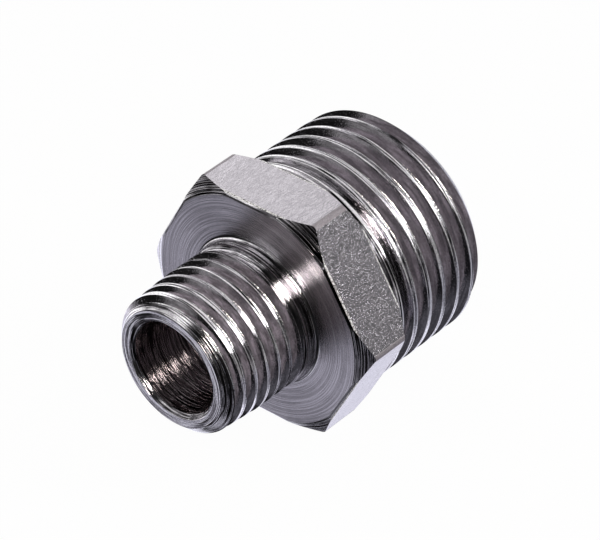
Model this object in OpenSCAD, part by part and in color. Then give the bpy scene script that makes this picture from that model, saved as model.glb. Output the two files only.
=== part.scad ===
// Reducing hex nipple, turned from one length of hexagonal bar and drilled through.
// The axis lies along X with the small thread towards -X, and a flat of the hexagon faces down.
// The origin is on the axis, in the face of the hexagon beside the small thread.

/* [Hexagon] */
// Width of the hexagon across its flats
hex_af = 21; // [21:0.5:27]
// Length of the hexagon along the axis
hex_len = 5.6; // [4:0.1:12]
// Radius on the long corners of the bar
hex_corner_r = 0.6; // [0.2:0.1:1.2]
// How much wider than the flats the turned circle on each face is
hex_face_over = 0.6; // [0.1:0.1:1.2]
// Angle between a face of the hexagon and its corner chamfer
hex_chamfer_angle = 38; // [20:1:45]

/* [Small thread] */
// Diameter over the crests
small_crest_d = 13.05; // [12.4:0.05:14.5]
// Distance between neighbouring crests
small_pitch = 1.337; // [1:0.001:1.5]
// Width of the flat crests at the end face
small_crest_w = 0.22; // [0.14:0.02:0.4]
// How much shallower the groove gets for each millimetre towards the hexagon
small_rise = 0.015; // [0:0.005:0.04]
// Length from the hexagon to the end face
small_len = 10.3; // [8:0.1:16]
// How far below the roots the end face starts
small_end_drop = 0.27; // [0.1:0.01:0.35]
// How far below the full crest the first turn is turned down
small_lead_drop = 0.26; // [0.1:0.02:0.4]
// Length over which the crests grow to their full height
small_lead_len = 4.6; // [2:0.1:6]
// Width of the smooth shoulder against the hexagon
small_shoulder_w = 1.1; // [0.6:0.05:1.6]
// How far the shoulder stands over the crests
small_shoulder_over = 0.1; // [0.04:0.02:0.3]
// Angle round the axis at which a crest reaches the end face
small_start = 218; // [0:1:359]

/* [Large thread] */
// Diameter over the crests
large_crest_d = 20.75; // [19:0.05:20.8]
// Distance between neighbouring crests
large_pitch = 1.814; // [1.4:0.001:2]
// Width of the flat crests at the end face
large_crest_w = 0.3; // [0.2:0.02:0.5]
// How much shallower the groove gets for each millimetre towards the hexagon
large_rise = 0.03; // [0:0.005:0.05]
// Length from the hexagon to the end face
large_len = 11.75; // [9:0.1:18]
// How far below the roots the end face starts
large_end_drop = 0.1; // [0.04:0.02:0.3]
// Width of the smooth shoulder against the hexagon
large_shoulder_w = 0.65; // [0.5:0.05:1.4]
// How far the shoulder stays below the crests
large_shoulder_drop = 0.1; // [0.04:0.02:0.3]
// Angle round the axis at which a crest reaches the end face
large_start = 26; // [0:1:359]

/* [Thread form] */
// Angle between the two flanks of a thread
flank_angle = 55; // [50:1:60]
// Angle of the chamfer at each end, measured from the axis
lead_angle = 45; // [30:1:60]
// Angle at which the groove climbs out of the metal beside the hexagon, measured from the axis
fade_angle = 36; // [20:1:60]
// Number of flat steps round one turn of thread
turn_steps = 44; // [24:4:48]

/* [Bore] */
// Diameter of the bore from the small end
bore_d = 8.5; // [6:0.1:8.8]
// Diameter of the wider bore from the large end
wide_bore_d = 15; // [10:0.1:16]
// Length of the wider bore up to its cone
wide_bore_len = 12.4; // [6:0.1:14]
// Angle of the cone that the drill leaves between the bores
drill_angle = 118; // [90:1:150]
// Chamfer on the mouth of each bore
bore_edge = 0.35; // [0.1:0.05:0.4]
// Radius in the corner between the small shoulder and the hexagon
shoulder_fillet = 0.35; // [0.1:0.05:0.5]

/* [Hidden] */
$fn = 96;

// A whole turn, in degrees
turn = 360;
// Cuts run this far past the metal, and fused solids reach this far into each other
past = 1;
overlap = 0.35;
// A threaded length enters its shoulder this far under the shoulder's surface, at this angle
entry_step = 0.04;
entry_angle = 30;
// Angle between two corners of the hexagon, and the steps round one of them or the fillet
hex_step = 60;
corner_steps = 4;
// Points of a thread that lie closer than this to an end plane are put on it
snap = 0.02;

// Radius in the roots, in pitches, and the half width and height that it takes up
round_share = 0.1373;
root_half = round_share * cos(flank_angle / 2);
root_rise = round_share * (1 - sin(flank_angle / 2));

small_crest_r = small_crest_d / 2;
small_root_r = small_crest_r - thread_depth(small_pitch, small_crest_w);
small_end_x = -small_len;
small_end_r = small_root_r - small_end_drop;
small_shoulder_r = small_crest_r + small_shoulder_over;
small_shoulder_x = -small_shoulder_w;
small_entry_r = small_crest_r - entry_step;

large_crest_r = large_crest_d / 2;
large_root_r = large_crest_r - thread_depth(large_pitch, large_crest_w);
large_end_x = hex_len + large_len;
large_end_r = large_root_r - large_end_drop;
large_shoulder_r = large_crest_r - large_shoulder_drop;
large_shoulder_x = hex_len + large_shoulder_w;
large_entry_r = large_shoulder_r - entry_step;

hex_corner_far = hex_af / 2 / cos(hex_step / 2);
hex_face_r = (hex_af + hex_face_over) / 2;
hex_chamfer_len = (hex_corner_far - hex_face_r) * tan(hex_chamfer_angle);

bore_r = bore_d / 2;
wide_bore_r = wide_bore_d / 2;
wide_bore_x = large_end_x - wide_bore_len;
drill_cone_len = (wide_bore_r - bore_r) / tan(drill_angle / 2);

// Depth of the groove at the end face
function thread_depth(pitch, crest_w) =
    pitch * root_rise + (pitch / 2 - crest_w / 2 - pitch * root_half) / tan(flank_angle / 2);

// Half the width of a crest, where the flanks that climb out of the roots meet the crest radius
function crest_half(root_r, crest_r, pitch) =
    pitch * (0.5 - root_half) - (crest_r - root_r - pitch * root_rise) * tan(flank_angle / 2);

// The rows of one pitch as [place along the pitch, radius], from the near side of a crest to the
// far side of the root behind it
function thread_rows(root_r, crest_r, pitch) = [
    [-crest_half(root_r, crest_r, pitch), crest_r],
    [crest_half(root_r, crest_r, pitch), crest_r],
    [pitch * (0.5 - root_half), root_r + pitch * root_rise],
    [pitch * 0.5, root_r],
    [pitch * (0.5 + root_half), root_r + pitch * root_rise]
];

// From each row, the step to the other end of its flank. The middle of the root is on no flank.
FLANK_STEPS = [-1, 1, -1, undef, 1];
rows = len(FLANK_STEPS);
// The rows from this one on lie in the root
first_root_row = 2;

// A cone round the axis is given as [x, radius there, growth of the radius along x].
function cone_at(cone, x) = cone[1] + cone[2] * (x - cone[0]);
function limit_at(x, limits) = min([for (cone = limits) cone_at(cone, x)]);

// How far along a flank, from 0 at its foot to 1 at its top, it meets a cone
function meeting(cone, foot, top) =
    let (climb = top[1] - foot[1] - cone[2] * (top[0] - foot[0]))
    climb > 0 ? max(0, min(1, (cone_at(cone, foot[0]) - foot[1]) / climb)) : 1;

// A thread point [x, radius] under the fade cone comes up to it. The foot of a flank slides
// up its own flank while the flank still stands out of the cone, so that the groove narrows.
function raised_point(point, top, fade, crest_r) =
    let (level = min(crest_r, cone_at(fade, point[0])))
    point[1] >= level ? point
    : top == undef || cone_at(fade, top[0]) >= top[1] ? [point[0], level]
    : point + (top - point) * meeting(fade, point, top);

// A thread point over a limit comes down to it. The top of a flank slides down its own flank
// while the flank still has its foot inside the limits.
function held_point(point, foot, limits) =
    let (level = limit_at(point[0], limits))
    point[1] <= level ? point
    : foot == undef || limit_at(foot[0], limits) <= foot[1] ? [point[0], level]
    : foot + (point - foot) * min([for (cone = limits) meeting(cone, foot, point)]);

// The point of one row, counted from the first crest, at one angle. The roots lie on a cone.
function raw_point(row, angle, first_x, root, crest_r, pitch) =
    let (middle = first_x + pitch * (floor(row / rows) + angle / turn))
    let (place = thread_rows(cone_at(root, middle), crest_r, pitch)[row % rows])
    [middle + place[0], place[1]];

// The other end of the flank that a point belongs to: the foot under an edge of a crest, or the
// top over an edge of a root
function flank_end(row, angle, first_x, root, crest_r, pitch) =
    let (step = FLANK_STEPS[row % rows])
    step == undef ? undef
    : raw_point(row + rows + step, angle, first_x - pitch, root, crest_r, pitch);

// Where a point of the thread ends up after the fade cone and the limits. An edge of a crest
// slides down its flank no further than the place that the foot was raised to.
function thread_point(row, angle, first_x, root, crest_r, pitch, fade, limits) =
    let (point = raw_point(row, angle, first_x, root, crest_r, pitch))
    let (other = flank_end(row, angle, first_x, root, crest_r, pitch))
    row % rows >= first_root_row
    ? held_point(raised_point(point, other, fade, crest_r), undef, limits)
    : held_point(point, raised_point(other, point, fade, crest_r), limits);

// A threaded length as one closed solid along Z: near_x and far_x are its two flat ends,
// crest_x is where a crest crosses angle 0, the root is a cone, the fade cone is where the groove
// comes to its end, and the limits shape the lead-in and the entry into the shoulder.
module threaded_length(near_x, far_x, crest_x, root, crest_r, pitch, fade, limits) {
    turns_before = floor((near_x - crest_x) / pitch) - 2;
    first_x = crest_x + pitch * turns_before;
    turn_count = ceil((far_x - first_x) / pitch) + 2;
    row_count = turn_count * rows;
    body_start = 2 * turn_steps;

    column = [
        for (j = [0:turn_steps - 1])
            let (angle = turn * j / turn_steps)
            [
                for (i = [0:row_count - 1])
                    thread_point(i, angle, first_x, root, crest_r, pitch, fade, limits)
            ]
    ];

    function spin(angle, radius, x) = [radius * cos(angle), radius * sin(angle), x];
    function point_id(j, i) =
        j == turn_steps ? (i + rows > row_count - 1 ? turn_steps : point_id(0, i + rows))
        : column[j][i][0] <= near_x + snap ? j
        : column[j][i][0] >= far_x - snap ? turn_steps + j
        : body_start + j * row_count + i;

    points = concat(
        [for (j = [0:turn_steps - 1]) spin(turn * j / turn_steps, limit_at(near_x, limits), near_x)],
        [for (j = [0:turn_steps - 1]) spin(turn * j / turn_steps, limit_at(far_x, limits), far_x)],
        [
            for (j = [0:turn_steps - 1])
                for (i = [0:row_count - 1])
                    spin(turn * j / turn_steps, column[j][i][1], column[j][i][0])
        ]
    );
    corners = [
        for (j = [0:turn_steps - 1])
            for (i = [0:row_count - 2])
                let (a = point_id(j, i))
                let (b = point_id(j, i + 1))
                let (c = point_id(j + 1, i + 1))
                let (d = point_id(j + 1, i))
                for (t = [[a, b, c], [a, c, d]])
                    if (t[0] != t[1] && t[1] != t[2] && t[2] != t[0])
                        t
    ];
    near_face = [for (j = [0:turn_steps - 1]) j];
    far_face = [for (j = [turn_steps - 1:-1:0]) turn_steps + j];

    polyhedron(points = points, faces = concat(corners, [near_face, far_face]));
}

module small_thread() {
    limits = [
        [small_end_x, small_end_r, tan(lead_angle)],
        [small_end_x, small_crest_r - small_lead_drop, small_lead_drop / small_lead_len],
        [small_shoulder_x, small_entry_r, -tan(entry_angle)]
    ];
    threaded_length(
        near_x = small_end_x,
        far_x = small_shoulder_x + overlap,
        crest_x = small_end_x + small_pitch * small_start / turn,
        root = [small_end_x, small_root_r, small_rise],
        crest_r = small_crest_r,
        pitch = small_pitch,
        fade = [small_shoulder_x, small_crest_r, tan(fade_angle)],
        limits = limits
    );
}

module large_thread() {
    limits = [
        [large_shoulder_x, large_entry_r, tan(entry_angle)],
        [large_end_x, large_end_r, -tan(lead_angle)]
    ];
    threaded_length(
        near_x = large_shoulder_x - overlap,
        far_x = large_end_x,
        crest_x = large_end_x + large_pitch * large_start / turn,
        root = [large_end_x, large_root_r, -large_rise],
        crest_r = large_crest_r,
        pitch = large_pitch,
        fade = [large_shoulder_x, large_crest_r, -tan(fade_angle)],
        limits = limits
    );
}

// The bar: a hexagon with rounded long corners
module bar() {
    centre_far = hex_corner_far - hex_corner_r / cos(hex_step / 2);
    linear_extrude(height = hex_len)
        polygon([
            for (middle = [hex_step / 2:hex_step:turn])
                for (k = [0:corner_steps])
                    let (angle = middle + hex_step * (k / corner_steps - 0.5))
                    centre_far * [cos(middle), sin(middle)] + hex_corner_r * [cos(angle), sin(angle)]
        ]);
}

// What the lathe leaves of the bar: a round face on each side and a cone over the corners
module turned_limit() {
    wide = hex_corner_far + past;
    wide_len = (wide - hex_face_r) * tan(hex_chamfer_angle);
    rotate_extrude()
        polygon([
            [0, 0],
            [hex_face_r, 0],
            [wide, wide_len],
            [wide, hex_len - wide_len],
            [hex_face_r, hex_len],
            [0, hex_len]
        ]);
}

module hexagon() {
    intersection() {
        bar();
        turned_limit();
    }
}

// The smooth turned shoulders on both sides of the hexagon, with a fillet on the small side
module shoulders() {
    fillet = [
        for (k = [0:corner_steps])
            let (angle = 90 * k / corner_steps)
            [
                small_shoulder_r + shoulder_fillet * (1 - cos(angle)),
                -shoulder_fillet * (1 - sin(angle))
            ]
    ];
    rotate_extrude()
        polygon(concat(
            [
                [0, small_shoulder_x],
                [small_shoulder_r, small_shoulder_x]
            ],
            fillet,
            [
                [small_shoulder_r + shoulder_fillet, hex_len - overlap],
                [large_shoulder_r, hex_len - overlap],
                [large_shoulder_r, large_shoulder_x],
                [0, large_shoulder_x]
            ]
        ));
}

// The drilled way through, with its cone and the chamfers on its two mouths
module bores() {
    rotate_extrude()
        polygon([
            [0, small_end_x - past],
            [bore_r + bore_edge + past, small_end_x - past],
            [bore_r, small_end_x + bore_edge],
            [bore_r, wide_bore_x - drill_cone_len],
            [wide_bore_r, wide_bore_x],
            [wide_bore_r, large_end_x - bore_edge],
            [wide_bore_r + bore_edge + past, large_end_x + past],
            [0, large_end_x + past]
        ]);
}

// The adapter: everything is made along Z and then laid along X, with angle 0 facing down
module adapter() {
    color([0.42, 0.41, 0.44])
        rotate([0, 90, 0])
            difference() {
                union() {
                    hexagon();
                    shoulders();
                    small_thread();
                    large_thread();
                }
                bores();
            }
}

adapter();
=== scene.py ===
"""Visual model of a reducing hex nipple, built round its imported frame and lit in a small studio.

Sizes are in millimetres along the part's own axes, as on a drawing: X runs along the bore from the
small thread to the large one, Z points up out of a flat of the hexagon. Finished pieces are brought
to metres once, at the end of their making.
"""

import logging
import math
from dataclasses import dataclass, field
from enum import Enum

import bpy
from mathutils import Matrix, Vector


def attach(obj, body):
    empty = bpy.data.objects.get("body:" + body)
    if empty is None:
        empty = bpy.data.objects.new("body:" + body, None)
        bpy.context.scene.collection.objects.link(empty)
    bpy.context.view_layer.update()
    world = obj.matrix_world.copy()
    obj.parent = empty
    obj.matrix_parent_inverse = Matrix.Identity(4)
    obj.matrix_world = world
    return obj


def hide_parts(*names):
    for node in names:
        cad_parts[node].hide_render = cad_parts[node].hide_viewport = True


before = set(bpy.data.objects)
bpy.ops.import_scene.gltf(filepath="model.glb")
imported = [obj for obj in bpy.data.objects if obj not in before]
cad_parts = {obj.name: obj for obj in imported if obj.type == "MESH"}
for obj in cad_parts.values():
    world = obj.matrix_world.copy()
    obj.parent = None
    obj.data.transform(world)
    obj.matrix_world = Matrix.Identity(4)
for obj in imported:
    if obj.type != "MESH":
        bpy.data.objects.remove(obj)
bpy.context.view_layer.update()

LOG = logging.getLogger("adapter")

MM = 0.001
TURN = 2 * math.pi
WELD = 1e-4

Point = tuple[float, float]
Socket = bpy.types.NodeSocket


# Workbench


class Cut(Enum):
    """The three ways in which one solid shapes another."""

    JOIN = "UNION"
    REMOVE = "DIFFERENCE"
    KEEP_COMMON = "INTERSECT"


class Bench:
    """The hand tools that every piece is made with."""

    @staticmethod
    def clear() -> None:
        """Leaves edit mode and deselects everything."""
        if bpy.context.object and bpy.context.object.mode != "OBJECT":
            bpy.ops.object.mode_set(mode="OBJECT")
        bpy.ops.object.select_all(action="DESELECT")

    @staticmethod
    def hold(piece: bpy.types.Object) -> None:
        """Makes one piece the only selected and active one.

        Args:
            piece: The piece to work on next.
        """
        Bench.clear()
        piece.select_set(True)
        bpy.context.view_layer.objects.active = piece

    @staticmethod
    def edit(piece: bpy.types.Object) -> None:
        """Opens a piece in edit mode with all of its mesh selected.

        Args:
            piece: The piece to open.
        """
        Bench.hold(piece)
        bpy.ops.object.mode_set(mode="EDIT")
        bpy.ops.mesh.select_mode(type="VERT")
        bpy.ops.mesh.select_all(action="SELECT")

    @staticmethod
    def draw(name: str, points: list[Point]) -> bpy.types.Object:
        """Draws a line in the plane of X and Z by pulling one vertex from point to point.

        Args:
            name: Name of the new object.
            points: Places along X and radii, in order.

        Returns:
            The object that holds the line.
        """
        Bench.clear()
        bpy.ops.mesh.primitive_plane_add(size=1)
        line = bpy.context.object
        line.name = name
        Bench.edit(line)
        bpy.ops.mesh.merge(type="CENTER")
        bpy.ops.transform.translate(value=(points[0][0], 0, points[0][1]))
        for start, end in zip(points, points[1:]):
            step = (end[0] - start[0], 0, end[1] - start[1])
            bpy.ops.mesh.extrude_vertices_move(TRANSFORM_OT_translate={"value": step})
        bpy.ops.object.mode_set(mode="OBJECT")
        return line

    @staticmethod
    def lathe(name: str, points: list[Point], steps: int) -> bpy.types.Object:
        """Turns a profile round the X axis into a closed solid.

        Args:
            name: Name of the new object.
            points: The profile, from the axis and back to the axis.
            steps: Steps round the axis.

        Returns:
            The turned solid.
        """
        solid = Bench.draw(name, points)
        Bench.edit(solid)
        bpy.ops.mesh.spin(steps=steps, angle=TURN, center=(0, 0, 0), axis=(1, 0, 0))
        bpy.ops.mesh.select_all(action="SELECT")
        bpy.ops.mesh.remove_doubles(threshold=WELD)
        bpy.ops.mesh.normals_make_consistent(inside=False)
        bpy.ops.object.mode_set(mode="OBJECT")
        return solid

    @staticmethod
    def shape(piece: bpy.types.Object, tool: bpy.types.Object, cut: Cut) -> None:
        """Shapes a piece with another solid, which is used up.

        Args:
            piece: The piece that changes.
            tool: The solid that it is joined with, cut by or cut down to.
            cut: Which of these is done.
        """
        Bench.hold(piece)
        modifier = piece.modifiers.new("cut", "BOOLEAN")
        modifier.operation = cut.value
        modifier.solver = "MANIFOLD"
        modifier.object = tool
        bpy.ops.object.modifier_apply(modifier=modifier.name)
        bpy.data.objects.remove(tool)

    @staticmethod
    def break_edges(piece: bpy.types.Object, width: float, sharpness: float) -> None:
        """Takes the sharpness off the edges of a piece.

        Args:
            piece: The piece.
            width: Width of each broken edge.
            sharpness: The least angle of an edge that is broken.
        """
        Bench.hold(piece)
        bevel = piece.modifiers.new("edges", "BEVEL")
        bevel.width = width
        bevel.segments = 2
        bevel.limit_method = "ANGLE"
        bevel.angle_limit = sharpness
        bpy.ops.object.modifier_apply(modifier=bevel.name)


# Finishes


class Wires:
    """A material's or a world's node tree, with short calls to add nodes to it."""

    def __init__(self, owner: bpy.types.ID) -> None:
        """Opens the node tree of a material or a world and empties it.

        Args:
            owner: The material or world.
        """
        owner.use_nodes = True
        self.tree = owner.node_tree
        self.tree.nodes.clear()

    def add(self, kind: str, settings: dict | None = None, **inputs: object) -> bpy.types.Node:
        """Adds a node, sets it up and wires its inputs.

        Args:
            kind: The node's type, without its prefix.
            settings: Properties of the node.
            **inputs: Values or sockets for its inputs, by name with underscores for spaces, or by
                number as i0, i1 and so on.

        Returns:
            The new node.
        """
        node = self.tree.nodes.new("ShaderNode" + kind)
        for name, value in (settings or {}).items():
            setattr(node, name, value)
        for name, value in inputs.items():
            numbered = name[0] == "i" and name[1:].isdigit()
            key = int(name[1:]) if numbered else name.replace("_", " ")
            self.feed(node.inputs[key], value)
        return node

    def feed(self, socket: Socket, value: object) -> None:
        """Wires a socket to another one, or sets its value.

        Args:
            socket: The input.
            value: An output socket, or a value.
        """
        if isinstance(value, Socket):
            self.tree.links.new(value, socket)
        else:
            socket.default_value = value

    def math(self, operation: str, *values: object, clamp: bool = False) -> Socket:
        """Works out one number.

        Args:
            operation: Name of the operation.
            *values: Its numbers or sockets.
            clamp: Whether the result stays from 0 to 1.

        Returns:
            The result.
        """
        node = self.tree.nodes.new("ShaderNodeMath")
        node.operation = operation
        node.use_clamp = clamp
        for socket, value in zip(node.inputs, values):
            self.feed(socket, value)
        return node.outputs[0]

    def spread(
        self, value: object, low: float, high: float, to_low: float = 0.0, to_high: float = 1.0
    ) -> Socket:
        """Takes a number smoothly from one range to another.

        Args:
            value: The number.
            low: Start of its range.
            high: End of its range.
            to_low: What the start becomes.
            to_high: What the end becomes.

        Returns:
            The result, held inside the new range.
        """
        node = self.add(
            "MapRange",
            {"interpolation_type": "SMOOTHSTEP"},
            Value=value, From_Min=low, From_Max=high, To_Min=to_low, To_Max=to_high,
        )
        return node.outputs["Result"]

    def noise(self, place: object, detail: float) -> Socket:
        """Looks a place up in smooth noise of about 0 to 1, which has grains one unit wide."""
        node = self.add("TexNoise", Vector=place, Scale=1.0, Detail=detail, Roughness=0.6)
        return node.outputs[0]

    def dots(self, place: object, outer: float, inner: float) -> Socket:
        """Scatters dots about a unit apart, rising from 0 at the outer radius to 1 at the inner."""
        cells = self.add("TexVoronoi", Vector=place, Scale=1.0, Randomness=1.0)
        return self.spread(cells.outputs["Distance"], outer, inner)

    def place(self, x: object, y: object, z: object) -> Socket:
        """Joins three numbers to a place."""
        return self.add("CombineXYZ", X=x, Y=y, Z=z).outputs[0]

    def scale(self, place: object, factor: object) -> Socket:
        """Multiplies the three numbers of a place or a colour by a factor."""
        node = self.add("VectorMath", {"operation": "SCALE"}, i0=place, Scale=factor)
        return node.outputs[0]

    def bump(self, height: object, depth: float, normal: object = None) -> Socket:
        """Tilts the shading of a surface as if it had a relief.

        Args:
            height: Height of the relief, from 0 to 1.
            depth: Its depth in millimetres.
            normal: The direction that another relief under it gives, if there is one.

        Returns:
            The direction of the surface with the relief.
        """
        node = self.add("Bump", Strength=1.0, Distance=depth * MM, Height=height)
        if normal is not None:
            self.feed(node.inputs["Normal"], normal)
        return node.outputs[0]


# Uneven plating: its patches, and how much they differ in shade.
PATCHES_PER_MM = 0.55
PATCH_SHADE = 0.16

# Pits: how close they lie, and where one ends and its middle begins, in steps from pit to pit.
PITS_PER_MM = 6.5
PIT_RADII = (0.40, 0.05)

# The part of a noise's range over which grains and lines go from dark to light.
GRAIN_RANGE = (0.35, 0.65)
LINE_RANGE = (0.42, 0.58)

# Patches in which the lines are fainter.
FAINT_PATCHES_PER_MM = 0.6
FAINT_RANGE = (0.35, 0.60)
FAINTEST = 0.6


class Marks(Enum):
    """The ways in which the tools left their fine lines."""

    FACED = "rings on a flat face or a cone"
    TURNED = "rings round a cylinder"
    DRAWN = "lines along the bar"


@dataclass(frozen=True)
class Finish:
    """How one kind of surface came off the machine and the plating bath, with painted light and
    shade.

    Attributes:
        name: Name of the material.
        tint: Colour of the plating.
        roughness: Its roughness.
        unevenness: How much rougher and smoother it is in patches.
        marks: How the fine lines of the tool run.
        line_density: Lines to the millimetre.
        line_depth: Depth of the lines, in millimetres.
        wander: How soon a line changes along its way.
        grain_density: Grains to the millimetre.
        grain_depth: Height of the grains, in millimetres.
        pit_depth: Depth of the scattered pits, in millimetres.
        painted_line_shade: How much darker the high lines are than the low ones: painted shade and
            light.
        speckle: How much the grains differ in shade.
        stretch: How far the shine is drawn out across the rings.
    """

    name: str
    tint: tuple[float, float, float]
    roughness: float
    unevenness: float
    marks: Marks
    line_density: float
    line_depth: float
    wander: float
    grain_density: float
    grain_depth: float
    pit_depth: float = 0.0
    painted_line_shade: float = 0.0
    speckle: float = 0.0
    stretch: float = 0.0

    def build(self) -> bpy.types.Material:
        """Makes the material out of tool lines, grain, pits, uneven plating and painted light and
        shade.

        Returns:
            The material.
        """
        plate = bpy.data.materials.new(self.name)
        wires = Wires(plate)
        place = wires.scale(wires.add("TexCoord").outputs["Object"], 1 / MM)
        split = wires.add("SeparateXYZ", Vector=place).outputs
        lines = self.lines(wires, split)
        grain = wires.noise(wires.scale(place, self.grain_density), detail=1.0)
        patches = wires.noise(wires.scale(place, PATCHES_PER_MM), detail=3.0)

        bump = wires.bump(lines, self.line_depth)
        bump = wires.bump(grain, self.grain_depth, bump)
        if self.pit_depth:
            pits = wires.dots(wires.scale(place, PITS_PER_MM), *PIT_RADII)
            bump = wires.bump(wires.math("SUBTRACT", 1.0, pits), self.pit_depth, bump)

        smoothest = self.roughness - self.unevenness
        rough = wires.math("MULTIPLY_ADD", patches, 2 * self.unevenness, smoothest, clamp=True)
        shade = wires.math("MULTIPLY_ADD", patches, PATCH_SHADE, 1 - PATCH_SHADE / 2)
        # Painted shade and light along the tool lines: the high lines are painted darker, the low
        # ones lighter.
        streaks = wires.math("MULTIPLY_ADD", lines, -self.painted_line_shade, 1 + self.painted_line_shade / 2)
        shade = wires.math("MULTIPLY", shade, streaks)
        if self.speckle:
            bright = wires.spread(grain, *GRAIN_RANGE, 1 - self.speckle, 1 + self.speckle)
            shade = wires.math("MULTIPLY", shade, bright)
        shader = wires.add(
            "BsdfPrincipled",
            Base_Color=wires.scale(self.tint, shade),
            Metallic=1.0,
            Roughness=rough,
            Normal=bump,
        )
        if self.stretch:
            away = wires.add(
                "VectorTransform",
                {"vector_type": "VECTOR", "convert_from": "OBJECT", "convert_to": "WORLD"},
                Vector=wires.place(0.0, split[1], split[2]),
            )
            wires.feed(shader.inputs["Anisotropic"], self.stretch)
            wires.feed(shader.inputs["Tangent"], away.outputs[0])
        wires.add("OutputMaterial", Surface=shader.outputs[0])
        return plate

    def lines(self, wires: Wires, split: object) -> Socket:
        """The fine lines that the tool left.

        Args:
            wires: The material's nodes.
            split: The three coordinates of the place, in millimetres.

        Returns:
            Height of the surface, about 0 to 1.
        """
        x, y, z = split[0], split[1], split[2]
        squares = wires.math("MULTIPLY", y, y), wires.math("MULTIPLY", z, z)
        radius = wires.math("SQRT", wires.math("ADD", *squares))
        if self.marks is Marks.DRAWN:
            place = wires.place(
                wires.math("MULTIPLY", x, self.wander),
                wires.math("MULTIPLY", y, self.line_density),
                wires.math("MULTIPLY", z, self.line_density),
            )
        else:
            across = radius if self.marks is Marks.FACED else x
            place = wires.place(
                wires.math("MULTIPLY", across, self.line_density),
                wires.math("MULTIPLY", wires.math("DIVIDE", y, radius), self.wander),
                wires.math("MULTIPLY", wires.math("DIVIDE", z, radius), self.wander),
            )
        crisp = wires.spread(wires.noise(place, detail=1.0), *LINE_RANGE, -0.5, 0.5)
        place = wires.scale(wires.place(x, y, z), FAINT_PATCHES_PER_MM)
        strength = wires.spread(wires.noise(place, detail=1.0), *FAINT_RANGE, FAINTEST, 1.0)
        return wires.math("MULTIPLY_ADD", crisp, strength, 0.5)


# Tints of the plating: whole; lighter on the large crests, as a painted sheen; satin; worn on the
# edges of the crests, with a painted highlight; darker in the far flanks of the large end and on
# the long corners, as painted shade; bright on the burrs of the hexagon, with a painted highlight;
# and darker in the bore, as painted shade.
PLATE = (0.575, 0.55, 0.585)
# Lighter on the large crests: a painted sheen.
CREST_SHEEN = (0.72, 0.69, 0.745)
SATIN = (0.585, 0.55, 0.57)
# Edges of the crests: worn, and painted lighter as a painted highlight.
WORN_AND_GLINT = (0.80, 0.78, 0.81)
# Darker plate: painted shade, for the far flanks of the large end and the long corners.
SHADED_PLATE = (0.46, 0.43, 0.455)
# Bright on the hexagon's broken edges: burrs, with a painted highlight.
BRIGHT = (0.95, 0.94, 0.95)
# Darker in the bore: painted shade in the recess.
SHADED_BORE = (0.34, 0.30, 0.315)


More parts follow.
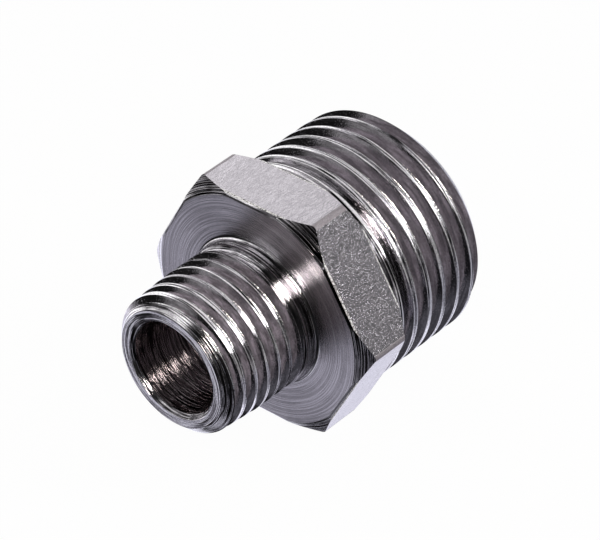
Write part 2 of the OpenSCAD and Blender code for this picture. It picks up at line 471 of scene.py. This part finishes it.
class Surface(Enum):
    """The differently finished surfaces of the fitting, each with its finish.

    A flank looks towards the small end and a far flank towards the large one.
    """

    FLANK = Finish(
        "flank", PLATE, roughness=0.10, unevenness=0.05,
        marks=Marks.TURNED, line_density=7.0, line_depth=0.001, wander=3.0,
        grain_density=5.0, grain_depth=0.005, pit_depth=0.006, painted_line_shade=0.5, speckle=0.1,
    )
    # Far flanks of the large end: painted shade, darker than the plate.
    FAR_FLANK = Finish(
        "far_flank", SHADED_PLATE, roughness=0.85, unevenness=0.06,
        marks=Marks.TURNED, line_density=6.0, line_depth=0.003, wander=3.0,
        grain_density=7.0, grain_depth=0.006, painted_line_shade=0.4, speckle=0.1,
    )
    SMALL_FAR = Finish(
        "small_far_flank", SATIN, roughness=0.85, unevenness=0.06,
        marks=Marks.TURNED, line_density=6.0, line_depth=0.003, wander=3.0,
        grain_density=7.0, grain_depth=0.006, painted_line_shade=0.4, speckle=0.1,
    )
    SMALL_CREST = Finish(
        "small_crest", PLATE, roughness=0.09, unevenness=0.04,
        marks=Marks.TURNED, line_density=8.0, line_depth=0.010, wander=1.0,
        grain_density=11.0, grain_depth=0.005, painted_line_shade=1.95, speckle=0.4,
    )
    # Large crests: their lighter tint is a painted sheen.
    LARGE_CREST = Finish(
        "large_crest", CREST_SHEEN, roughness=0.20, unevenness=0.08,
        marks=Marks.TURNED, line_density=9.0, line_depth=0.016, wander=1.2,
        grain_density=14.0, grain_depth=0.014, painted_line_shade=1.95, speckle=0.6,
    )
    # Broken edges of the crests: wear, with a painted highlight in their lighter tint.
    EDGE = Finish(
        "crest_edge", WORN_AND_GLINT, roughness=0.12, unevenness=0.05,
        marks=Marks.TURNED, line_density=3.0, line_depth=0.002, wander=6.0,
        grain_density=8.0, grain_depth=0.035, painted_line_shade=1.0,
    )
    # Broken edges of the hexagon: burrs, painted near white as a painted highlight.
    BURR_AND_GLINT = Finish(
        "hexagon_edge", BRIGHT, roughness=0.9, unevenness=0.05,
        marks=Marks.DRAWN, line_density=6.0, line_depth=0.020, wander=6.0,
        grain_density=9.0, grain_depth=0.020, painted_line_shade=1.0, speckle=0.6,
    )
    SHOULDER = Finish(
        "shoulder", PLATE, roughness=0.11, unevenness=0.04,
        marks=Marks.TURNED, line_density=7.0, line_depth=0.018, wander=0.9,
        grain_density=8.0, grain_depth=0.003, painted_line_shade=1.98, speckle=0.3,
    )
    FACE = Finish(
        "turned_face", PLATE, roughness=0.24, unevenness=0.03,
        marks=Marks.FACED, line_density=12.0, line_depth=0.006, wander=1.0,
        grain_density=14.0, grain_depth=0.002, painted_line_shade=0.5, speckle=0.15, stretch=0.9,
    )
    END = Finish(
        "end_face", PLATE, roughness=0.14, unevenness=0.05,
        marks=Marks.FACED, line_density=11.0, line_depth=0.022, wander=1.2,
        grain_density=9.0, grain_depth=0.004, painted_line_shade=1.98, speckle=0.3,
    )
    CORNER = Finish(
        "corner_chamfer", PLATE, roughness=0.11, unevenness=0.04,
        marks=Marks.FACED, line_density=11.0, line_depth=0.014, wander=1.0,
        grain_density=8.0, grain_depth=0.002, painted_line_shade=1.98,
    )
    FLAT = Finish(
        "hexagon_flat", PLATE, roughness=0.09, unevenness=0.02,
        marks=Marks.DRAWN, line_density=5.0, line_depth=0.002, wander=1.6,
        grain_density=14.0, grain_depth=0.004, pit_depth=0.016, painted_line_shade=0.15, speckle=0.3,
    )
    # Long corners: painted darker, as painted shade that dims their highlight.
    ROUNDING = Finish(
        "long_corner", SHADED_PLATE, roughness=0.70, unevenness=0.05,
        marks=Marks.DRAWN, line_density=5.0, line_depth=0.002, wander=1.6,
        grain_density=16.0, grain_depth=0.006, pit_depth=0.010, painted_line_shade=0.15, speckle=0.2,
    )
    # The bore: painted shade, darker than the plate.
    BORE = Finish(
        "bore", SHADED_BORE, roughness=0.20, unevenness=0.05,
        marks=Marks.TURNED, line_density=8.5, line_depth=0.030, wander=1.4,
        grain_density=8.0, grain_depth=0.010, painted_line_shade=1.9,
    )


# The metal parts


@dataclass
class Hexagon:
    """The spanner hexagon, with turned faces and chamfered corners.

    Attributes:
        flats: Width across the flats.
        length: Length along the bore.
        corner_r: Radius of the rounded long corners.
        front_face_r: Radius of the turned face beside the small end.
        back_face_r: The same beside the large end.
        front_angle: Angle between the front face and its corner chamfers.
        back_angle: The same at the back face.
        edge: Width of the broken edges.
        sharp: The least angle of an edge that is broken.
        steps: Steps round the turned form.
    """

    flats: float = 21.0
    length: float = 5.6
    corner_r: float = 0.6
    front_face_r: float = 10.58
    back_face_r: float = 10.72
    front_angle: float = math.radians(33.5)
    back_angle: float = math.radians(38)
    edge: float = 0.11
    sharp: float = math.radians(20)
    steps: int = 288

    @property
    def corner_far(self) -> float:
        """Distance from the axis to the sharp corners."""
        return self.flats / math.sqrt(3)

    def build(self) -> bpy.types.Object:
        """Makes the hexagon from a six-sided bar and turns its corners down.

        Returns:
            The finished hexagon, in millimetres.
        """
        Bench.clear()
        bpy.ops.mesh.primitive_cylinder_add(
            vertices=6,
            radius=self.corner_far,
            depth=self.length,
            location=(self.length / 2, 0, 0),
            rotation=(0, math.pi / 2, 0),
        )
        bar = bpy.context.object
        bar.name = "hexagon"
        bpy.ops.object.transform_apply(location=True, rotation=True, scale=True)
        self.turn_flat_down(bar)
        self.round_long_corners(bar)
        wide = self.corner_far + 1  # clear of the corners
        front_slope = math.tan(self.front_angle)
        back_slope = math.tan(self.back_angle)
        limit = Bench.lathe(
            "limit",
            [
                (0, 0),
                (0, self.front_face_r),
                ((wide - self.front_face_r) * front_slope, wide),
                (self.length - (wide - self.back_face_r) * back_slope, wide),
                (self.length, self.back_face_r),
                (self.length, 0),
            ],
            self.steps,
        )
        Bench.shape(bar, limit, Cut.KEEP_COMMON)
        Bench.break_edges(bar, self.edge, self.sharp)
        return bar

    def turn_flat_down(self, bar: bpy.types.Object) -> None:
        """Turns the bar round its axis until a flat faces up and another faces down.

        Args:
            bar: The six-sided bar.
        """
        highest = max(vertex.co.z for vertex in bar.data.vertices)
        halfway = (self.flats / 2 + self.corner_far) / 2
        if highest > halfway:
            Bench.edit(bar)
            bpy.ops.transform.rotate(value=TURN / 12, orient_axis="X", center_override=(0, 0, 0))
            bpy.ops.object.mode_set(mode="OBJECT")

    def round_long_corners(self, bar: bpy.types.Object) -> None:
        """Rounds the six long corners of the bar.

        Args:
            bar: The six-sided bar.
        """
        Bench.edit(bar)
        bpy.ops.mesh.select_all(action="DESELECT")
        bpy.ops.object.mode_set(mode="OBJECT")
        for edge in bar.data.edges:
            a, b = (bar.data.vertices[i].co for i in edge.vertices)
            edge.select = abs(a.x - b.x) > self.length / 2
        bpy.ops.object.mode_set(mode="EDIT")
        bpy.ops.mesh.select_mode(type="EDGE")
        reach = self.corner_r * math.tan(TURN / 12)
        bpy.ops.mesh.bevel(offset=reach, offset_type="OFFSET", segments=6, profile=0.5)
        bpy.ops.object.mode_set(mode="OBJECT")


@dataclass
class ThreadedEnd:
    """One threaded length with its chamfer, its smooth shoulder and its groove fading out.

    Attributes:
        name: Name of the ridged bar.
        crest_r: Radius of the crests.
        crest_w: Width of a crest at the end face.
        pitch: Pitch of the right-hand thread.
        crest_at: Place of a crest at the top of the part.
        end_x: Place of the end face.
        end_r: Radius at which the chamfer meets the end face.
        shoulder_x: Where the smooth shoulder meets the groove.
        shoulder_r: Radius of the smooth shoulder.
        inner_x: How far it reaches into the hexagon.
        rise: How much the roots rise for each millimetre towards the hexagon.
        lead_drop: How much lower the crests begin at the chamfer.
        lead_len: Distance from the end face to their full height.
        steps: Steps to a turn.
        crest_edge: Width of the broken edges of the crests.
        sharp: The least angle of an edge that is broken.
        fade_angle: Slope of the cone on which the groove fades out.
        under_root: How far this cone reaches below the roots.
        lead_angle: Slope of the chamfer.
        round_share: Radius of the rounding in the roots, as a share of the pitch.
        round_steps: Steps from the middle of that rounding to a flank.
        half_angle: Half the angle between the flanks.
    """

    name: str
    crest_r: float
    crest_w: float
    pitch: float
    crest_at: float
    end_x: float
    end_r: float
    shoulder_x: float
    shoulder_r: float
    inner_x: float
    rise: float = 0.0
    lead_drop: float = 0.0
    lead_len: float = 1.0
    steps: int = 160
    crest_edge: float = 0.05
    sharp: float = math.radians(38)
    fade_angle: float = math.radians(36)
    under_root: float = 0.3
    lead_angle: float = math.radians(45)
    round_share: float = 0.1373
    round_steps: int = 4
    half_angle: float = math.radians(27.5)

    @property
    def outward(self) -> int:
        """The way along X in which this end points."""
        return 1 if self.end_x > self.inner_x else -1

    @property
    def root_half(self) -> float:
        """Half the width of the rounding in a root."""
        return self.round_share * self.pitch * math.cos(self.half_angle)

    @property
    def root_rise(self) -> float:
        """Height of the rounding in a root."""
        return self.round_share * self.pitch * (1 - math.sin(self.half_angle))

    @property
    def depth(self) -> float:
        """Depth of the groove at the end face."""
        flank = (self.pitch - self.crest_w) / 2 - self.root_half
        return self.root_rise + flank / math.tan(self.half_angle)

    def profile(self, first_x: float, swell: float) -> list[Point]:
        """The form that the tool cuts: a rounded root between flanks that run on to a sharp ridge.

        Args:
            first_x: Place of the first root.
            swell: Factor on all radii, which the later taper takes back.

        Returns:
            The points of one pitch, from one root to the next.
        """
        radius = self.round_share * self.pitch
        root = self.crest_r - self.depth
        flank = (self.pitch / 2 - self.root_half) / math.tan(self.half_angle)
        ridge = root + self.root_rise + flank
        arc = []
        for k in range(self.round_steps + 1):
            turned = (math.pi / 2 - self.half_angle) * k / self.round_steps
            arc.append((radius * math.sin(turned), root + radius * (1 - math.cos(turned))))
        points = [*arc, (self.pitch / 2, ridge), *((self.pitch - x, r) for x, r in reversed(arc))]
        return [(first_x + x, r * swell) for x, r in points]

    def wind(self) -> bpy.types.Object:
        """Winds one pitch of the form round the axis and cuts the ends off flat.

        The winding is tapered, because the groove gets shallower towards the hexagon.

        Returns:
            The ridged bar as a closed solid.
        """
        low, high = sorted((self.end_x, self.inner_x))
        spare = 2
        turns_before = math.ceil((self.crest_at - low) / self.pitch) + spare
        turns = turns_before + math.ceil((high - self.crest_at) / self.pitch) + spare
        first_x = self.crest_at - (turns_before + 0.5) * self.pitch
        growth = -self.outward * self.rise / self.crest_r
        swell = 1 - growth * self.end_x
        bar = Bench.draw(self.name, self.profile(first_x, swell))
        Bench.hold(bar)
        screw = bar.modifiers.new("wind", "SCREW")
        screw.axis = "X"
        screw.angle = TURN
        screw.screw_offset = self.pitch
        screw.iterations = turns
        screw.steps = self.steps
        screw.render_steps = self.steps
        screw.use_merge_vertices = True
        screw.merge_threshold = WELD
        bpy.ops.object.modifier_apply(modifier=screw.name)
        taper = bar.modifiers.new("taper", "SIMPLE_DEFORM")
        taper.deform_method = "TAPER"
        taper.deform_axis = "X"
        taper.factor = growth / swell * bar.dimensions.x
        bpy.ops.object.modifier_apply(modifier=taper.name)
        for place, direction in ((low, -1), (high, 1)):
            Bench.edit(bar)
            bpy.ops.mesh.bisect(
                plane_co=(place, 0, 0),
                plane_no=(direction, 0, 0),
                use_fill=True,
                clear_outer=True,
                threshold=1e-5,
            )
        Bench.edit(bar)
        bpy.ops.mesh.remove_doubles(threshold=WELD)
        bpy.ops.mesh.normals_make_consistent(inside=False)
        bpy.ops.object.mode_set(mode="OBJECT")
        return bar

    def blank(self) -> bpy.types.Object:
        """The turned blank that the thread was cut into, with its lead-in chamfer.

        Returns:
            The blank as a closed solid.
        """
        out = self.outward
        lead_r = self.crest_r - self.lead_drop
        chamfer_len = (lead_r - self.end_r) / math.tan(self.lead_angle)
        points = [
            (self.end_x, 0),
            (self.end_x, self.end_r),
            (self.end_x - out * chamfer_len, lead_r),
            (self.end_x - out * self.lead_len, self.crest_r),
            (self.inner_x, self.crest_r),
            (self.inner_x, 0),
        ]
        if not self.lead_drop:
            del points[3]
        return Bench.lathe("blank", points, self.steps)

    def shoulder(self) -> bpy.types.Object:
        """The smooth shoulder and the cone on which the groove runs out.

        Returns:
            The shoulder as a closed solid that reaches to the inner end.
        """
        out = self.outward
        root = self.crest_r - self.depth - self.under_root
        fade_r = min(self.crest_r, self.shoulder_r)
        reach = (fade_r - root) / math.tan(self.fade_angle)
        points = [
            (self.inner_x, 0),
            (self.inner_x, self.shoulder_r),
            (self.shoulder_x, self.shoulder_r),
        ]
        if self.shoulder_r > fade_r:
            points.append((self.shoulder_x, fade_r))
        fade_x = self.shoulder_x + out * reach
        points += [(fade_x, root), (fade_x, 0)]
        return Bench.lathe("shoulder", points, self.steps)

    def build(self) -> bpy.types.Object:
        """Makes the threaded end.

        Returns:
            The finished end, in millimetres.
        """
        bar = self.wind()
        Bench.shape(bar, self.blank(), Cut.KEEP_COMMON)
        Bench.break_edges(bar, self.crest_edge, self.sharp)
        Bench.shape(bar, self.shoulder(), Cut.JOIN)
        return bar


@dataclass
class Bore:
    """The stepped way through, with chamfered mouths and the cone that the drill left.

    Attributes:
        near_x: Place of the mouth in the small end.
        far_x: Place of the mouth in the large end.
        near_r: Radius from the small end on.
        far_r: Radius from the large end on.
        far_len: Depth of the wide bore.
        drill_angle: Angle of the cone between the bores.
        edge: Width of the chamfers of the mouths.
        past: How far the cutting solid reaches past the mouths.
        steps: Steps round the bore.
    """

    near_x: float = -10.3
    far_x: float = 17.35
    near_r: float = 4.25
    far_r: float = 7.5
    far_len: float = 12.4
    drill_angle: float = math.radians(118)
    edge: float = 0.35
    past: float = 1.0
    steps: int = 192

    def build(self) -> bpy.types.Object:
        """Makes the solid that is taken out of the part.

        Returns:
            The shape of the bore, reaching past both mouths.
        """
        cone_x = self.far_x - self.far_len
        cone_len = (self.far_r - self.near_r) / math.tan(self.drill_angle / 2)
        return Bench.lathe(
            "bore",
            [
                (self.near_x - self.past, 0),
                (self.near_x - self.past, self.near_r + self.edge + self.past),
                (self.near_x + self.edge, self.near_r),
                (cone_x - cone_len, self.near_r),
                (cone_x, self.far_r),
                (self.far_x - self.edge, self.far_r),
                (self.far_x + self.past, self.far_r + self.edge + self.past),
                (self.far_x + self.past, 0),
            ],
            self.steps,
        )


@dataclass(frozen=True)
class Limits:
    """Slopes and places by which the faces of the finished fitting are told apart.

    A slope is a share of a face's direction, along X or outward from the axis.

    Attributes:
        inward: Outward slope of a face that looks at the axis, at most.
        bore_middle: Middle of the length away from both mouths.
        bore_inside: Half of that length.
        mouth: Slope along X of a chamfer at a mouth, at least.
        square: Slope of a face that is square to a direction, at least.
        same_slope: Difference between equal slopes, at most.
        same_way: Angle between a flat and a face in it, at most.
        broken: Slope along X of a broken edge of the hexagon, at least.
        near_end: Distance from an end face of a face in it, at most.
        over_thread: Height over the large crests at which the hexagon begins.
        slack: Distance allowed at the ends of a shoulder.
        fade_reach: Length beside a shoulder in which the groove fades out.
        chamfers: Where the end chamfers begin, along X.
        crest_edge: Outward slope of the edge of a crest, at least.
    """

    inward: float = -0.2
    bore_middle: float = 3.4
    bore_inside: float = 8.0
    mouth: float = 0.3
    square: float = 0.985
    same_slope: float = 0.02
    same_way: float = 0.03
    broken: float = 0.08
    near_end: float = 0.1
    over_thread: float = 0.05
    slack: float = 0.01
    fade_reach: float = 1.5
    chamfers: tuple[float, float] = (-9.0, 15.5)
    crest_edge: float = 0.6


@dataclass
class Adapter:
    """The whole fitting, one piece of metal.

    Attributes:
        hexagon: The spanner hexagon.
        small: The small threaded end.
        large: The large threaded end.
        bore: The way through.
        limits: What its faces are told apart by.
        fillet_r: Radius of the hollow corner beside the small shoulder.
        fillet_steps: Steps round that corner.
        hollow_steps: Steps across it.
        smooth: The largest angle over which the shading runs on.
    """

    hexagon: Hexagon = field(default_factory=Hexagon)
    small: ThreadedEnd = field(
        default_factory=lambda: ThreadedEnd(
            name="small_end",
            crest_r=6.525,
            crest_w=0.22,
            pitch=1.337,
            crest_at=-8.82,
            end_x=-10.3,
            end_r=5.406,
            rise=0.015,
            shoulder_x=-1.1,
            shoulder_r=6.625,
            inner_x=0.4,
            lead_drop=0.26,
            lead_len=4.6,
        )
    )
    large: ThreadedEnd = field(
        default_factory=lambda: ThreadedEnd(
            name="large_end",
            crest_r=10.375,
            crest_w=0.30,
            pitch=1.814,
            crest_at=9.316,
            end_x=17.35,
            end_r=9.112,
            rise=0.03,
            shoulder_x=6.5,
            shoulder_r=10.275,
            inner_x=5.2,
            steps=200,
        )
    )
    bore: Bore = field(default_factory=Bore)
    limits: Limits = Limits()
    fillet_r: float = 0.35
    fillet_steps: int = 192
    hollow_steps: int = 8
    smooth: float = math.radians(24)

    def fillet(self) -> bpy.types.Object:
        """The hollow corner between the small shoulder and the hexagon.

        Returns:
            A turned ring that fills the corner.
        """
        radius = self.fillet_r
        base = self.small.shoulder_r
        hollow = []
        for k in range(self.hollow_steps + 1):
            turned = math.pi / 2 * k / self.hollow_steps
            fall, rise = radius * (1 - math.sin(turned)), radius * (1 - math.cos(turned))
            hollow.append((-fall, base + rise))
        inner = self.small.inner_x
        points = [(-radius, 0), *hollow, (inner, base + radius), (inner, 0)]
        return Bench.lathe("fillet", points, self.fillet_steps)

    def build(self) -> bpy.types.Object:
        """Makes the fitting and brings it to metres.

        Returns:
            The finished piece.
        """
        body = self.hexagon.build()
        for solid in (self.small.build(), self.fillet(), self.large.build()):
            Bench.shape(body, solid, Cut.JOIN)
        Bench.shape(body, self.bore.build(), Cut.REMOVE)
        body.name = "adapter_body"
        body.data.name = "adapter_body"
        Bench.edit(body)
        bpy.ops.mesh.remove_doubles(threshold=WELD)
        bpy.ops.transform.resize(value=(MM, MM, MM), center_override=(0, 0, 0))
        bpy.ops.object.mode_set(mode="OBJECT")
        Bench.hold(body)
        bpy.ops.object.shade_smooth_by_angle(angle=self.smooth)
        return body

    def surface_of(self, face: bpy.types.MeshPolygon) -> Surface:
        """Tells from a face's place and direction which surface of the fitting it belongs to.

        Args:
            face: The face, in metres.

        Returns:
            The surface.
        """
        limits = self.limits
        x, y, z = face.center / MM
        radius = math.hypot(y, z)
        along = face.normal.x
        outward = (face.normal.y * y + face.normal.z * z) / radius
        if outward < limits.inward:
            at_mouth = abs(x - limits.bore_middle) > limits.bore_inside
            return Surface.END if abs(along) > limits.mouth and at_mouth else Surface.BORE
        if abs(along) > limits.square:
            low, high = self.small.end_x + limits.near_end, self.large.end_x - limits.near_end
            return Surface.END if x < low or x > high else Surface.FACE
        if radius > self.large.crest_r + limits.over_thread:
            return self.hexagon_surface_of(face)
        low, high = self.small.shoulder_x, self.large.shoulder_x
        if low - limits.slack < x < high + limits.slack:
            return Surface.SHOULDER
        fading = abs(outward - math.cos(self.small.fade_angle)) < limits.same_slope
        if fading and low - limits.fade_reach < x < high + limits.fade_reach:
            return Surface.SHOULDER
        if outward > limits.square:
            return Surface.SMALL_CREST if x < 0 else Surface.LARGE_CREST
        chamfered = abs(abs(along) - outward) < limits.same_slope
        if chamfered and (x < limits.chamfers[0] or x > limits.chamfers[1]):
            return Surface.END
        if outward > limits.crest_edge:
            return Surface.EDGE
        if along <= 0:
            return Surface.FLANK
        return Surface.SMALL_FAR if x < 0 else Surface.FAR_FLANK

    def hexagon_surface_of(self, face: bpy.types.MeshPolygon) -> Surface:
        """Tells which surface of the hexagon's sides a face belongs to.

        Args:
            face: The face, further out than the threads.

        Returns:
            The surface.
        """
        along = face.normal.x
        angle = self.hexagon.front_angle if along < 0 else self.hexagon.back_angle
        if abs(abs(along) - math.cos(angle)) < self.limits.same_slope:
            return Surface.CORNER
        if abs(along) > self.limits.broken:
            return Surface.BURR_AND_GLINT
        turned = math.atan2(face.normal.y, face.normal.z) % (TURN / 6)
        in_flat = min(turned, TURN / 6 - turned) < self.limits.same_way
        return Surface.FLAT if in_flat else Surface.ROUNDING

    def dress(self, body: bpy.types.Object) -> None:
        """Gives the fitting its finish and ties it to the frame.

        Args:
            body: The finished piece.
        """
        body.data.materials.clear()
        places = {}
        for slot, surface in enumerate(Surface):
            body.data.materials.append(surface.value.build())
            places[surface] = slot
        for face in body.data.polygons:
            face.material_index = places[self.surface_of(face)]
        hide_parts("adapter")
        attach(body, "root")


# Studio


@dataclass(frozen=True)
class Softbox:
    """One soft lamp that faces the part, placed by degrees and metres.

    Attributes:
        name: Name of the lamp.
        azimuth: Direction in which it stands, from X towards Y.
        elevation: Its height over the level.
        distance: Its distance.
        width: Its width.
        height: Its height.
        level: How bright its face is, where 1 is white.
        tint: Colour of its light.
    """

    name: str
    azimuth: float
    elevation: float
    distance: float
    width: float
    height: float
    level: float
    tint: tuple[float, float, float] = (1.0, 1.0, 1.0)

    def build(self) -> bpy.types.Object:
        """Hangs the lamp, facing the part.

        Returns:
            The lamp.
        """
        lamp = bpy.data.lights.new(self.name, "AREA")
        lamp.shape = "RECTANGLE"
        lamp.color = self.tint
        lamp.size = self.width
        lamp.size_y = self.height
        lamp.energy = self.level * math.pi * self.width * self.height
        holder = bpy.data.objects.new(self.name, lamp)
        bpy.context.scene.collection.objects.link(holder)
        aside = math.radians(self.azimuth)
        above = math.radians(self.elevation)
        level = math.cos(above)
        away = Vector((math.cos(aside) * level, math.sin(aside) * level, math.sin(above)))
        side = Vector((0, 0, 1)).cross(away).normalized()
        turned = Matrix((side, away.cross(side), away)).transposed().to_4x4()
        holder.matrix_world = Matrix.Translation(away * self.distance) @ turned
        return holder


@dataclass(frozen=True)
class Panel:
    """One pale, soft-edged part of the room's walls, with its angles in degrees.

    Attributes:
        azimuth: Direction of its middle, from X towards Y.
        elevation: Height of its middle over the level.
        half_width: Half its width.
        half_height: Half its height.
        edge: Half the width of its soft edge.
        level: How bright it is, where 1 is white.
    """

    azimuth: float
    elevation: float
    half_width: float
    half_height: float
    edge: float
    level: float


@dataclass
class Studio:
    """Floor, lamps, room and camera.

    The camera sees the room and the floor as plain white. The metal shows black beside white in the
    photograph, which a room that is white all round would wash out. So the room that the metal sees
    is dark with pale panels, and one of them is the white backdrop where the camera looks.

    Attributes:
        azimuth: Direction of the camera, from the front to the right.
        elevation: Its height over the level.
        roll: How far it is tipped.
        distance: Its distance, in millimetres.
        pixels_per_mm: Scale of the picture at the origin.
        shift_right: Millimetres from the picture's middle to the origin.
        shift_up: The same, upwards.
        frame_width: Width of the picture, in pixels.
        sensor: Width of the sensor, in millimetres.
        floor_z: Height of the floor, in millimetres.
        floor_size: Its width, in metres.
        floor_tone: Its shade.
        floor_white: Share of plain white in what the camera sees of it.
        softboxes: The lamps.
        panels: The pale parts of the room.
        dark_level: How bright the room is between them.
        light_change: Elevations between which its tint changes.
        light_above: The tint above them.
        light_below: The tint below them.
    """

    azimuth: float = math.radians(-47.05)
    elevation: float = math.radians(36.236)
    roll: float = math.radians(-2.859)
    distance: float = 309.47
    pixels_per_mm: float = 12.21
    shift_right: float = -3.576
    shift_up: float = -3.261
    frame_width: int = 600
    sensor: float = 36.0
    floor_z: float = -10.5
    floor_size: float = 4.0
    floor_tone: float = 0.9
    floor_white: float = 0.97
    softboxes: tuple[Softbox, ...] = (
        Softbox("softbox_right", -57, 33, 0.45, 0.13, 0.25, 5.0),
        Softbox("softbox_front", -131, 38, 0.45, 0.17, 0.16, 13.0, (1.0, 0.94, 0.88)),
        Softbox("softbox_left", 148, 50, 0.45, 0.30, 0.16, 0.8),
    )
    panels: tuple[Panel, ...] = (
        Panel(70, -10, 34, 50, 8, 1.15),
        Panel(100, 27, 18, 12, 6, 1.0),
        Panel(8, 50, 66, 34, 14, 0.72),  # in the upper flat
        Panel(-52, -34, 36, 32, 12, 0.36),
        Panel(-56, 6, 30, 14, 6, 0.25),  # in the right flat
        Panel(-88, -48, 18, 18, 8, 0.22),
        Panel(43, -36, 18, 14, 6, 1.0),  # the white backdrop, where the camera looks
        Panel(-175, -60, 34, 16, 7, 0.09),
        Panel(152, 8, 14, 16, 4, 0.26),
        Panel(145, 35, 30, 10, 6, 0.55),
        Panel(8, -62, 34, 18, 10, 1.05),  # in the lower flat
        Panel(140, -45, 30, 14, 8, 0.52),  # in the face of the hexagon
        Panel(-157, 15, 8, 8, 4, 0.42),
        Panel(0, -90, 180, 14, 6, 0.30),  # the floor underneath
    )
    dark_level: float = 0.012
    light_change: tuple[float, float] = (-12, -32)
    light_above: tuple[float, float, float, float] = (1.0, 0.99, 1.0, 1.0)
    light_below: tuple[float, float, float, float] = (0.96, 0.96, 1.10, 1.0)

    def camera(self) -> bpy.types.Object:
        """Places the camera as the photograph was taken.

        Returns:
            The camera.
        """
        back = Vector((
            math.sin(self.azimuth) * math.cos(self.elevation),
            -math.cos(self.azimuth) * math.cos(self.elevation),
            math.sin(self.elevation),
        ))
        level = Vector((0, 0, 1)).cross(back).normalized()
        upright = back.cross(level)
        right = math.cos(self.roll) * level + math.sin(self.roll) * upright
        up = math.cos(self.roll) * upright - math.sin(self.roll) * level
        place = (self.distance * back - self.shift_right * right - self.shift_up * up) * MM
        turned = Matrix((right, up, back)).transposed().to_4x4()
        camera = bpy.data.cameras.new("camera")
        camera.sensor_width = self.sensor
        camera.lens = self.pixels_per_mm * self.distance * self.sensor / self.frame_width
        camera.clip_start = 0.01
        camera.clip_end = 10
        holder = bpy.data.objects.new("camera", camera)
        bpy.context.scene.collection.objects.link(holder)
        holder.matrix_world = Matrix.Translation(place) @ turned
        bpy.context.scene.camera = holder
        return holder

    def floor(self) -> bpy.types.Object:
        """Lays the pale floor under the part.

        The camera sees it as nearly white all over, and the little that is left of its own shade
        keeps the part's shadow.

        Returns:
            The floor.
        """
        Bench.clear()
        bpy.ops.mesh.primitive_plane_add(size=self.floor_size, location=(0, 0, self.floor_z * MM))
        floor = bpy.context.object
        floor.name = "floor"
        pale = bpy.data.materials.new("floor_pale")
        wires = Wires(pale)
        rays = wires.add("LightPath").outputs
        paper = wires.add("BsdfDiffuse", Color=(*[self.floor_tone] * 3, 1)).outputs[0]
        white = wires.add("Emission", Color=(1, 1, 1, 1), Strength=1.0).outputs[0]
        share = wires.math("MULTIPLY", rays["Is Camera Ray"], self.floor_white)
        seen = wires.add("MixShader", Fac=share, i1=paper, i2=white).outputs[0]
        wires.add("OutputMaterial", Surface=seen)
        floor.visible_glossy = False
        floor.data.materials.append(pale)
        return floor

    def room(self) -> None:
        """Surrounds the part with the dark room and its panels, which the camera sees as white."""
        world = bpy.data.worlds.new("room")
        bpy.context.scene.world = world
        wires = Wires(world)
        way = wires.add("SeparateXYZ", Vector=wires.add("TexCoord").outputs["Generated"]).outputs
        azimuth = wires.math("DEGREES", wires.math("ARCTAN2", way["Y"], way["X"]))
        elevation = wires.math("DEGREES", wires.math("ARCSINE", way["Z"]))
        tone = self.dark_level
        for panel in self.panels:
            aside = wires.math("SUBTRACT", azimuth, panel.azimuth)
            aside = wires.math("ABSOLUTE", wires.math("WRAP", aside, 180.0, -180.0))
            above = wires.math("ABSOLUTE", wires.math("SUBTRACT", elevation, panel.elevation))
            width, height, edge = panel.half_width, panel.half_height, panel.edge
            across = wires.spread(aside, width - edge, width + edge, 1, 0)
            upright = wires.spread(above, height - edge, height + edge, 1, 0)
            lit = wires.math("MULTIPLY", wires.math("MULTIPLY", across, upright), panel.level)
            tone = wires.math("MAXIMUM", tone, lit)
        rays = wires.add("LightPath").outputs
        below = wires.spread(elevation, *self.light_change)
        tints = wires.add(
            "Mix", {"data_type": "RGBA"}, i0=below, i6=self.light_above, i7=self.light_below
        )
        inside = wires.add("Background", Color=tints.outputs[2], Strength=tone).outputs[0]
        white = wires.add("Background", Color=(1, 1, 1, 1), Strength=1.0).outputs[0]
        seen = wires.add("MixShader", Fac=rays["Is Camera Ray"], i1=inside, i2=white).outputs[0]
        wires.add("OutputWorld", Surface=seen)

    def build(self) -> None:
        """Sets up the whole studio."""
        self.camera()
        self.floor()
        self.room()
        for softbox in self.softboxes:
            softbox.build()
        bpy.context.scene.view_settings.view_transform = "Standard"


def main() -> None:
    """Builds the fitting and its studio, and reports each piece."""
    logging.basicConfig(level=logging.INFO, format="%(message)s")
    adapter = Adapter()
    body = adapter.build()
    adapter.dress(body)
    LOG.info("%s: %d faces", body.name, len(body.data.polygons))
    Studio().build()


if __name__ == "__main__":
    main()
